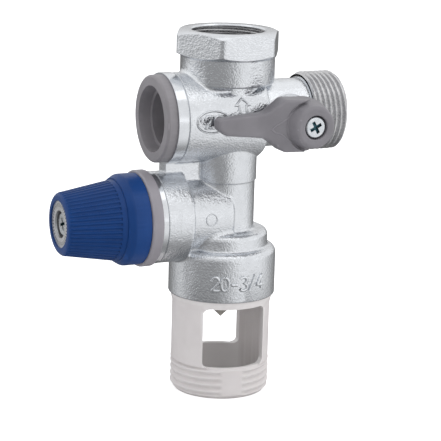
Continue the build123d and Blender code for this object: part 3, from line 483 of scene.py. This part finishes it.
def on_barrel(along, up):
    """Place on the barrel's front."""
    return on_pipe(BARREL_RADIUS, PIPE_Z, along, up)


def on_branch(along, up):
    """Place on the relief branch's front."""
    return on_pipe(BRANCH_RADIUS, RELIEF_Z, along, up)


def on_collar(along, up):
    """Place on the collar's front from its arc round the collar and its height."""
    angle = COLLAR_MARK_TURN + along / COLLAR_RADIUS
    return (COLLAR_RADIUS * math.sin(angle), -COLLAR_RADIUS * math.cos(angle), COLLAR_MARK_Z + up)


def die_mark(name, places, wire, closed=True):
    """One raised line of the forging."""
    new_piece(name, bead(name, places, wire, closed), "main", FORGED)


def numerals(name, text, height, gap, wall, centre, wire):
    """Raised figures centred on a place of a wall."""
    pitch = FIGURE_WIDTH * height + gap
    start = centre[0] - (len(text) * pitch - gap) / 2
    for k, sign in enumerate(text):
        strokes = [(start + k * pitch + u * height, centre[1] + (v - 0.5) * height) for u, v in STROKES[sign]]
        die_mark(f"{name}_{k + 1}", [wall(u, v) for u, v in between(strokes, MARK_STEP, False)], wire, False)


neck_of_head = ARROW_TIP - ARROW_HEAD
half_arrow = [(ARROW_HALF_HEAD, neck_of_head), (ARROW_HALF_SHAFT, neck_of_head),
              (ARROW_HALF_SHAFT, ARROW_FOOT)]
arrow = [(ARROW_X - u, v) for u, v in reversed(half_arrow)] + [(ARROW_X, ARROW_TIP)]
arrow += [(ARROW_X + u, v) for u, v in half_arrow]
die_mark("flow_arrow", [on_barrel(u, v) for u, v in between(arrow, MARK_STEP, True)], MARK_WIRE)
size_oval = oval(OVAL_HALF_LENGTH, OVAL_HALF_HEIGHT)
die_mark("size_oval", [on_barrel(OVAL_X + u, OVAL_UP + v) for u, v in size_oval], MARK_WIRE)
small_ring = oval(RING_RADIUS, RING_RADIUS, 24)
die_mark("die_ring", [on_branch(RING_X + u, RING_UP + v) for u, v in small_ring], RING_WIRE)
numerals("bore_size", "20", BORE_FIGURE_HEIGHT, BORE_FIGURE_GAP, on_barrel, (OVAL_X, OVAL_UP),
         BORE_FIGURE_WIRE)
numerals("thread_size", "20-3/4", THREAD_FIGURE_HEIGHT, THREAD_FIGURE_GAP, on_collar, (0.0, 0.0),
         THREAD_FIGURE_WIRE)

# Ball valve: a chromed ball between two low-friction plastic seats, locked in by a screwed brass ring.
# Its brass stem comes out of the boss at the front and carries two rubber rings.


def machined_brass():
    """Bare brass with fine turning marks."""
    material, tree, shader = finish_named("machined_brass")
    broad = lumps(tree, 2.0 * MM, 2.0)
    marks = lumps(tree, 0.15 * MM, 2.0)
    colour = shades(tree, broad, (0.60, 0.43, 0.18), (0.72, 0.55, 0.27))
    surface(tree, shader, colour, spread(tree, marks, 0.22, 0.38))
    relief(tree, shader, [(marks, 0.01 * MM)])
    return material


def polished_ball():
    """Polished chrome of the ball, faintly scored by its seats."""
    material, tree, shader = finish_named("polished_ball")
    scores = lumps(tree, 0.4 * MM, 3.0, 0.6, (1, 8, 8))
    colour = shades(tree, scores, (0.70, 0.70, 0.72), (0.80, 0.80, 0.82))
    surface(tree, shader, colour, spread(tree, scores, 0.05, 0.12))
    relief(tree, shader, [(scores, 0.003 * MM)])
    return material


def plain_plastic(name, dark, light, gloss, grain, depth, size=0.35 * MM, shine=0.5):
    """Moulded plastic: two close shades, a fine sparked texture and its sheen."""
    material, tree, shader = finish_named(name)
    broad = lumps(tree, 9.0 * MM, 2.0)
    fine = lumps(tree, size, 3.0, 0.6)
    colour = shades(tree, broad, dark, light)
    # edges are painted lighter: wear from handling, and a painted highlight
    rubbed_and_highlit = [min(1.0, c * 1.5 + 0.01) for c in light]
    colour = worn_and_highlit(tree, colour, rubbed_and_highlit, 0.35)
    surface(tree, shader, colour, spread(tree, fine, gloss - grain, gloss + grain), metallic=0.0)
    shader.inputs["Specular IOR Level"].default_value = shine
    relief(tree, shader, [(broad, 0.10 * MM), (fine, depth)])
    return material


def black_rubber():
    """Moulded sealing rubber."""
    material, tree, shader = finish_named("black_rubber")
    dust = lumps(tree, 0.6 * MM, 4.0)
    colour = shades(tree, dust, (0.015, 0.015, 0.016), (0.04, 0.04, 0.04))
    surface(tree, shader, colour, spread(tree, dust, 0.45, 0.65), metallic=0.0)
    relief(tree, shader, [(dust, 0.01 * MM)])
    return material


def dress(nodes, material):
    """Gives CAD nodes their material."""
    for name in nodes:
        coat(frame["nodes"][name], material)


BRASS = machined_brass()
RUBBER = black_rubber()
SEAT_PLASTIC = plain_plastic("seat_plastic", (0.78, 0.78, 0.75), (0.88, 0.88, 0.86), 0.35, 0.05, 0.004 * MM)
dress(["ball"], polished_ball())
dress(["ball_seat_inner", "ball_seat_outer"], SEAT_PLASTIC)
dress(["ball_retainer", "ball_stem"], BRASS)
dress(["stem_oring_inner", "stem_oring_outer"], RUBBER)

# The lever: one grey glass-filled nylon moulding with a domed hub, a crescent valley beside it and
# fanned shoulders that run into a slim tail, with a fine ridge where they meet. It is pushed over the
# stem's flats and held by a zinc plated cross-head screw.
BALL_X = joint_place["lever_turn"][0]
LEVER_VOXEL = 0.24 * MM
LEVER_ROUNDS = 5
AHEAD_OF_LEVER_Y = -40 * MM
RIDGE_ROUTE = ((11.78, -24.25), (10.62, -25.82), (8.72, -27.14), (6.95, -28.22), (5.55, -29.55),
               (6.75, -30.55), (8.06, -30.75), (9.11, -31.30), (10.47, -32.61), (12.77, -34.43),
               (14.63, -35.63))
RIDGE_STEP = 0.3 * MM
RIDGE_WIRE = 0.32 * MM
RIDGE_SINK = Vector((0, 0.16 * MM, 0))
SCREW_FACE_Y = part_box("handle_screw")[0].y
CROSS_REACH = 2.6 * MM
CROSS_SHADE = (0.035, 0.085, 0.105)
LEVER_CROSS_DEPTH = 0.15 * MM


def softened(node, name, voxel, rounds):
    """A copy of a CAD node with the soft edges that a mould gives."""
    piece = copy_of(node, name)
    weave = piece.modifiers.new("even", "REMESH")
    weave.mode = "VOXEL"
    weave.voxel_size = voxel
    soft = piece.modifiers.new("soft", "SMOOTH")
    soft.factor = 0.5
    soft.iterations = rounds
    done = bpy.data.meshes.new_from_object(piece.evaluated_get(bpy.context.evaluated_depsgraph_get()))
    piece.modifiers.clear()
    piece.data = done
    for face in done.polygons:
        face.use_smooth = True
    return piece


def calculate(tree, operation, *values):
    """A number worked out from one or two others."""
    return add_node(tree, "ShaderNodeMath", {"operation": operation}, *values).outputs[0]


def vector_node(tree, operation, *values):
    """The outputs of one step of vector arithmetic."""
    return add_node(tree, "ShaderNodeVectorMath", {"operation": operation}, *values).outputs


def from_axis(tree, axis, centre):
    """Distance of a place on the piece from a line along an axis."""
    place = add_node(tree, "ShaderNodeTexCoord")
    across = [0 if k == axis else 1 for k in range(3)]
    flat = vector_node(tree, "MULTIPLY", place.outputs["Object"], across)["Vector"]
    return vector_node(tree, "DISTANCE", flat, centre)["Value"]


def along_axis(tree, axis):
    """A place's coordinate along an axis."""
    place = add_node(tree, "ShaderNodeTexCoord")
    parts = add_node(tree, "ShaderNodeSeparateXYZ", Vector=place.outputs["Object"])
    return parts.outputs[axis]


def zinc_plate(name="zinc_plate", recess_shade=None):
    """Bright zinc plate with a faint blue cast; the last argument gives the axis, level and centre of a cross
    recess with painted shade in it.
    """
    material, tree, shader = finish_named(name)
    cloud = lumps(tree, 1.2 * MM, 3.0)
    fine = lumps(tree, 0.1 * MM, 2.0)
    colour = shades(tree, cloud, (0.58, 0.62, 0.66), (0.74, 0.76, 0.78))
    # painted shade: the screw's cross recess is painted dark where shade falls in it
    if recess_shade:
        axis, level, centre = recess_shade
        deep = calculate(tree, "GREATER_THAN", along_axis(tree, axis), level)
        inside = calculate(tree, "LESS_THAN", from_axis(tree, axis, centre), CROSS_REACH)
        colour = painted(tree, colour, CROSS_SHADE, calculate(tree, "MULTIPLY", deep, inside))
    surface(tree, shader, colour, spread(tree, cloud, 0.18, 0.34))
    relief(tree, shader, [(fine, 0.006 * MM)], 0.12 * MM)
    return material


LEVER_PLASTIC = plain_plastic("lever_plastic", (0.178, 0.170, 0.184), (0.215, 0.206, 0.222), 0.42, 0.07,
                              0.012 * MM, size=0.28 * MM)
lever = softened("handle", "lever_moulding", LEVER_VOXEL, LEVER_ROUNDS)
coat(lever, LEVER_PLASTIC)
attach(lever, "lever")
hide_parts("handle")
lever_skin = BVHTree.FromObject(lever, bpy.context.evaluated_depsgraph_get())
ridge_places = []
for x, z in between([(x * MM, z * MM) for x, z in RIDGE_ROUTE], RIDGE_STEP, False):
    on_lever = lever_skin.ray_cast(Vector((x, AHEAD_OF_LEVER_Y, z)), Vector((0, 1, 0)))[0]
    ridge_places.append(on_lever + RIDGE_SINK)
new_piece("lever_ridge_1", bead("lever_ridge", ridge_places, RIDGE_WIRE, False), "lever",
          LEVER_PLASTIC)
# the lever screw's cross recess gets painted shade
lever_cross_shade = (1, SCREW_FACE_Y + LEVER_CROSS_DEPTH, (BALL_X, 0, PIPE_Z))
dress(["handle_screw"], zinc_plate("lever_screw_zinc", lever_cross_shade))

# Check valve cartridge and its plug: a pale acetal housing with three legs, poppet, light steel spring
# and rubber rings, pushed into the barrel and held there by the grey inspection plug.


def drawn_wire():
    """Spring wire with the marks of drawing along it."""
    material, tree, shader = finish_named("drawn_wire")
    lines = lumps(tree, 0.2 * MM, 3.0)
    colour = shades(tree, lines, (0.34, 0.34, 0.35), (0.50, 0.50, 0.51))
    surface(tree, shader, colour, spread(tree, lines, 0.22, 0.36))
    relief(tree, shader, [(lines, 0.006 * MM)])
    return material


ACETAL = plain_plastic("acetal", (0.66, 0.66, 0.63), (0.76, 0.76, 0.73), 0.38, 0.06, 0.006 * MM)
PLUG_PLASTIC = plain_plastic("plug_plastic", (0.200, 0.190, 0.200), (0.245, 0.232, 0.245), 0.40, 0.08,
                             0.012 * MM, size=0.30 * MM)
WIRE = drawn_wire()
dress(["check_housing", "check_poppet"], ACETAL)
dress(["check_spring"], WIRE)
dress(["check_seal", "check_oring", "plug_oring"], RUBBER)
dress(["inspection_plug"], PLUG_PLASTIC)

# Relief valve: rubber seal in a brass shutter, diaphragm, slip washer, spring cup, spring and slotted
# nut on a steel spindle, all inside the screwed grey bonnet whose ring shows behind the knob.
BONNET_PLASTIC = plain_plastic("bonnet_plastic", (0.255, 0.240, 0.262), (0.300, 0.284, 0.308), 0.40, 0.08,
                               0.012 * MM, size=0.30 * MM)
dress(["relief_seal", "diaphragm"], RUBBER)
dress(["relief_shutter", "slip_washer", "spring_cup", "adjusting_nut"], BRASS)
dress(["relief_spring"], WIRE)
dress(["relief_spindle"], zinc_plate())
dress(["bonnet"], BONNET_PLASTIC)

# The relief knob: blue moulded plastic with a plain collar and a fluted taper, fixed to the spindle by
# a screw in a pocket that is painted dull grey inside as shade. A thin bare metal disc is pressed round the screw.
KNOB_AXIS = (0, 0, RELIEF_Z)
KNOB_SCREW_FACE_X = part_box("knob_screw")[0].x
KNOB_CROSS_DEPTH = 0.10 * MM
POCKET_RADIUS = 4.7 * MM
POCKET_SHADE = (0.11, 0.11, 0.115)
LABEL_TICKS = 36
LABEL_TICK_SHARE = 0.30
LABEL_TICK_IN = 5.7 * MM
LABEL_TICK_OUT = 6.9 * MM
LABEL_TICK_SHADE = (0.05, 0.05, 0.055)


def blue_knob():
    """Blue moulded plastic with painted shade, a dull grey, in the screw's pocket."""
    material = plain_plastic("blue_plastic", (0.002, 0.034, 0.150), (0.004, 0.042, 0.175), 0.36, 0.06,
                             0.008 * MM, size=0.30 * MM, shine=0.22)
    tree = material.node_tree
    skin = tree.nodes["Principled BSDF"].inputs["Base Color"]
    blue = skin.links[0].from_socket
    # painted shade: dull grey inside the screw's pocket, where shade falls
    pocket_shade_mask = calculate(tree, "LESS_THAN", from_axis(tree, 0, KNOB_AXIS), POCKET_RADIUS)
    tree.links.new(painted(tree, blue, POCKET_SHADE, pocket_shade_mask), skin)
    return material


def stamped_disc():
    """Thin metal disc with a ring of plain printed ticks."""
    material, tree, shader = finish_named("stamped_disc")
    cloud = lumps(tree, 1.5 * MM, 3.0)
    fine = lumps(tree, 0.09 * MM, 2.0)
    colour = shades(tree, cloud, (0.60, 0.60, 0.61), (0.72, 0.72, 0.73))
    height = calculate(tree, "SUBTRACT", along_axis(tree, 2), RELIEF_Z)
    turn = calculate(tree, "ARCTAN2", along_axis(tree, 1), height)
    part = calculate(tree, "FRACT", calculate(tree, "MULTIPLY", turn, LABEL_TICKS / (2 * math.pi)))
    away = from_axis(tree, 0, KNOB_AXIS)
    outside = calculate(tree, "GREATER_THAN", away, LABEL_TICK_IN)
    inside = calculate(tree, "LESS_THAN", away, LABEL_TICK_OUT)
    in_tick = calculate(tree, "LESS_THAN", part, LABEL_TICK_SHARE)
    ticks = calculate(tree, "MULTIPLY", in_tick, calculate(tree, "MULTIPLY", outside, inside))
    colour = painted(tree, colour, LABEL_TICK_SHADE, ticks)
    surface(tree, shader, colour, spread(tree, fine, 0.25, 0.42), metallic=0.9)
    relief(tree, shader, [(fine, 0.01 * MM)])
    return material


# the knob screw's cross recess gets painted shade
knob_cross_shade = (0, KNOB_SCREW_FACE_X + KNOB_CROSS_DEPTH, KNOB_AXIS)
dress(["knob"], blue_knob())
dress(["knob_label"], stamped_disc())
dress(["knob_screw"], zinc_plate("knob_screw_zinc", knob_cross_shade))

# The drain funnel: white moulded plastic with two air windows and a G 1 thread that the mould leaves
# flat at front and back. Its neck is pushed into the collar over a rubber ring, round the insert whose
# pointed tip makes the drip visible.
FUNNEL_RIM_Z = round(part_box("tundish")[0].z, MICROMETRE)
FUNNEL_RIM_HEIGHT = 1.5 * MM
FUNNEL_RIM_RADIUS = 15.0 * MM
FUNNEL_THREAD_LENGTH = 9.2 * MM
FUNNEL_THREAD_FOOT = FUNNEL_RIM_Z + FUNNEL_RIM_HEIGHT
FUNNEL_THREAD_TOP = FUNNEL_THREAD_FOOT + FUNNEL_THREAD_LENGTH
FUNNEL_CREST = 16.62 * MM
FUNNEL_ROOT = 15.85 * MM
FUNNEL_BED = 0.3 * MM
FUNNEL_BACK = 0.6 * MM
FUNNEL_CUT_BELOW = 3.0 * MM
FUNNEL_PITCH = 2.309 * MM
FUNNEL_RUN_OUT = 0.15 * MM
FLAT_TURN = math.radians(-9)
FLAT_HALF_ANGLE = math.radians(13)
FLAT_EDGE = math.radians(2.5)
FLAT_LEVEL = 0.72


def flat_zone(angle, form):
    """Thread form with the mould's flats at front and back."""
    from_front = math.atan2(math.cos(angle), -math.sin(angle)) - FLAT_TURN
    off_front = abs((from_front + math.pi) % (2 * math.pi) - math.pi)
    off_axis = min(off_front, math.pi - off_front)
    blend = min(max((off_axis - FLAT_HALF_ANGLE) / FLAT_EDGE, 0.0), 1.0)
    return FLAT_LEVEL + (form - FLAT_LEVEL) * blend


def funnel_bevel(height):
    """Outer radius that the bevels at the funnel's foot and above its thread leave."""
    foot = FUNNEL_RIM_RADIUS + (FUNNEL_CREST - FUNNEL_RIM_RADIUS) * height / FUNNEL_RIM_HEIGHT
    from_top = max(FUNNEL_RIM_HEIGHT + FUNNEL_THREAD_LENGTH - height, FUNNEL_RUN_OUT)
    return min(foot, FUNNEL_CREST - THREAD_BEVEL + from_top)


WHITE = plain_plastic("white_plastic", (0.635, 0.60, 0.59), (0.695, 0.66, 0.65), 0.42, 0.07, 0.010 * MM)
DRIP = plain_plastic("drip_plastic", (0.38, 0.36, 0.32), (0.46, 0.43, 0.39), 0.45, 0.07, 0.010 * MM)
funnel = copy_of("tundish", "funnel_moulding")
funnel_sleeve = sleeve("funnel_sleeve", [
    (FUNNEL_ROOT - FUNNEL_BED, FUNNEL_THREAD_FOOT - FUNNEL_CUT_BELOW),
    (FUNNEL_CREST + PAST, FUNNEL_THREAD_FOOT - FUNNEL_CUT_BELOW),
    (FUNNEL_CREST + PAST, FUNNEL_THREAD_TOP - HAIR), (FUNNEL_ROOT - FUNNEL_BED, FUNNEL_THREAD_TOP - HAIR)])
carve(funnel, [funnel_sleeve])
smooth_by_angle(funnel.data, limit=35)
coat(funnel, WHITE)
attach(funnel, "main")
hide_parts("tundish")
funnel_mesh = threaded_ring("funnel_thread", FUNNEL_ROOT, FUNNEL_CREST, FUNNEL_ROOT - FUNNEL_BACK,
                            FUNNEL_RIM_HEIGHT + FUNNEL_THREAD_LENGTH, FUNNEL_PITCH, funnel_bevel, flat_zone)
turn_to(funnel_mesh, (0, 0, FUNNEL_RIM_Z), (0, 0, 1))
new_piece("funnel_thread", funnel_mesh, "main", WHITE)
dress(["tundish_oring"], RUBBER)
dress(["drip_guide"], DRIP)

# Plain studio: a pale floor that keeps the shadow, a white light tent with a few darker sides that the
# plating mirrors, and soft lamps. A dark side is an azimuth and an elevation in degrees, the light that
# is left there, and the cosines at which it starts and ends.
CENTRE = Vector((-0.01, 0.0, -0.06))
KEY = (40, 35)
FILL = (-110, 20)
TOP = (0, 88)
LAMP_DISTANCE = 1.1
FLOOR_SIZE = 8.0
FLOOR_LIFT = 0.55
ROOM_LIGHT = 0.74
# The floor's dip straight below, at elevation -90, is a painted shadow of the object, mirrored in the plating.
FLOOR_SHADES = ((-55, -5, 0.36, 0.30, 0.88), (158, 0, 0.22, -0.10, 0.95), (0, -90, 0.34, 0.38, 0.88))
TENT_SHADES = ((-55, -5, 0.62, 0.40, 0.92), (158, -20, 0.60, 0.60, 0.96), (*KEY, 0.22, 0.70, 0.92),
               (*FILL, 0.45, 0.75, 0.95), (*TOP, 0.42, 0.70, 0.95))


def towards(azimuth, elevation):
    """Direction from the object; azimuth 0 is in front and 90 on the right."""
    a = math.radians(azimuth)
    e = math.radians(elevation)
    return Vector((math.sin(a) * math.cos(e), -math.cos(a) * math.cos(e), math.sin(e)))


def tent_light(tree, heading, dark_sides):
    """How bright the tent is along a heading, with soft dips at its darker sides and round the lamps."""
    light = 1.0
    for azimuth, elevation, level, start, stop in dark_sides:
        facing = vector_node(tree, "DOT_PRODUCT", heading, towards(azimuth, elevation))["Value"]
        dip = spread(tree, facing, 1.0, level, start, stop)
        dip.node.interpolation_type = "SMOOTHSTEP"
        light = calculate(tree, "MULTIPLY", light, dip)
    return light


def ray_kinds(tree):
    """Two sockets: whether the camera sees a place, and whether metal or glass shows it."""
    path = add_node(tree, "ShaderNodeLightPath")
    mirrored = calculate(tree, "MAXIMUM", path.outputs["Is Glossy Ray"], path.outputs["Is Transmission Ray"])
    return path.outputs["Is Camera Ray"], mirrored


def mixed(tree, share, one, other):
    """One shader, and by a share another."""
    return add_node(tree, "ShaderNodeMixShader", None, share, one, other).outputs["Shader"]


def pale_floor():
    """Floor that looks white, takes the shadow, is part of the tent in metal and is clear from below."""
    material, tree, shader = finish_named("pale_floor")
    shader.inputs["Base Color"].default_value = (0.86, 0.86, 0.86, 1)
    shader.inputs["Roughness"].default_value = 0.9
    shader.inputs["Specular IOR Level"].default_value = 0.0
    shader.inputs["Emission Color"].default_value = (1, 1, 1, 1)
    seen, mirrored = ray_kinds(tree)
    tree.links.new(calculate(tree, "MULTIPLY", seen, FLOOR_LIFT), shader.inputs["Emission Strength"])
    place = add_node(tree, "ShaderNodeTexCoord")
    away = vector_node(tree, "SUBTRACT", place.outputs["Object"], CENTRE)["Vector"]
    heading = vector_node(tree, "NORMALIZE", away)["Vector"]
    tent = add_node(tree, "ShaderNodeEmission", Strength=tent_light(tree, heading, FLOOR_SHADES))
    side = add_node(tree, "ShaderNodeNewGeometry")
    clear = add_node(tree, "ShaderNodeBsdfTransparent")
    above = mixed(tree, mirrored, shader.outputs["BSDF"], tent.outputs["Emission"])
    both_sides = mixed(tree, side.outputs["Backfacing"], above, clear.outputs["BSDF"])
    tree.links.new(both_sides, tree.nodes["Material Output"].inputs["Surface"])
    return material


def softbox(name, azimuth, elevation, size, power):
    """Square lamp that looks at the object."""
    away = towards(azimuth, elevation)
    lamp = bpy.data.lights.new(name, "AREA")
    lamp.size = size
    lamp.energy = power
    holder = bpy.data.objects.new(name, lamp)
    holder.location = CENTRE + away * LAMP_DISTANCE
    holder.rotation_euler = away.to_track_quat("Z", "Y").to_euler()
    bpy.context.scene.collection.objects.link(holder)


floor_mesh = bpy.data.meshes.new("floor")
half = FLOOR_SIZE / 2
floor_z = FUNNEL_RIM_Z - HAIR
floor_corners = [(x, y, floor_z) for x, y in ((-half, -half), (half, -half), (half, half), (-half, half))]
floor_mesh.from_pydata(floor_corners, [], [(0, 1, 2, 3)])
floor_mesh.materials.append(pale_floor())
floor = bpy.data.objects.new("floor", floor_mesh)
bpy.context.scene.collection.objects.link(floor)

world = bpy.data.worlds.new("studio")
bpy.context.scene.world = world
world.use_nodes = True
sky = world.node_tree
sky.nodes.clear()
seen, mirrored = ray_kinds(sky)
heading = add_node(sky, "ShaderNodeTexCoord").outputs["Generated"]
soft_room = add_node(sky, "ShaderNodeBackground", Color=(0.96, 0.97, 1.0, 1), Strength=ROOM_LIGHT)
tent_room = add_node(sky, "ShaderNodeBackground", Color=(1, 1, 1, 1),
                     Strength=tent_light(sky, heading, TENT_SHADES))
white_room = add_node(sky, "ShaderNodeBackground", Color=(1, 1, 1, 1), Strength=1.0)
unseen = mixed(sky, mirrored, soft_room.outputs["Background"], tent_room.outputs["Background"])
add_node(sky, "ShaderNodeOutputWorld", Surface=mixed(sky, seen, unseen, white_room.outputs["Background"]))

softbox("key_lamp", *KEY, size=1.5, power=5.5)
softbox("fill_lamp", *FILL, size=1.3, power=3.2)
softbox("top_lamp", *TOP, size=1.4, power=3.8)

# The camera: a long lens at the photograph's angle and distance and with its slight roll. It is sharp
# from front to back, and its focal length gives the photograph's pixels per millimetre at the object.
CAMERA_TARGET = Vector((-0.92, 0.0, -64.42)) * MM
CAMERA_AZIMUTH = -24.99
CAMERA_ELEVATION = 13.51
CAMERA_ROLL = math.radians(1.63)
CAMERA_DISTANCE = 658.6 * MM
SENSOR_WIDTH = 36.0
PICTURE_PIXELS = 441
PIXELS_PER_MM = 2.988

back = towards(CAMERA_AZIMUTH, CAMERA_ELEVATION)
level = towards(CAMERA_AZIMUTH + 90, 0)
upward = back.cross(level)
right = level * math.cos(CAMERA_ROLL) + upward * math.sin(CAMERA_ROLL)
up = upward * math.cos(CAMERA_ROLL) - level * math.sin(CAMERA_ROLL)
lens = bpy.data.cameras.new("camera")
lens.lens = SENSOR_WIDTH * PIXELS_PER_MM * (CAMERA_DISTANCE / MM) / PICTURE_PIXELS
lens.sensor_width = SENSOR_WIDTH
lens.clip_start = 0.01
camera = bpy.data.objects.new("camera", lens)
turn = Matrix((right, up, back)).transposed().to_4x4()
camera.matrix_world = Matrix.Translation(CAMERA_TARGET + back * CAMERA_DISTANCE) @ turn
bpy.context.scene.collection.objects.link(camera)
bpy.context.scene.camera = camera
bpy.context.scene.view_settings.view_transform = "Standard"
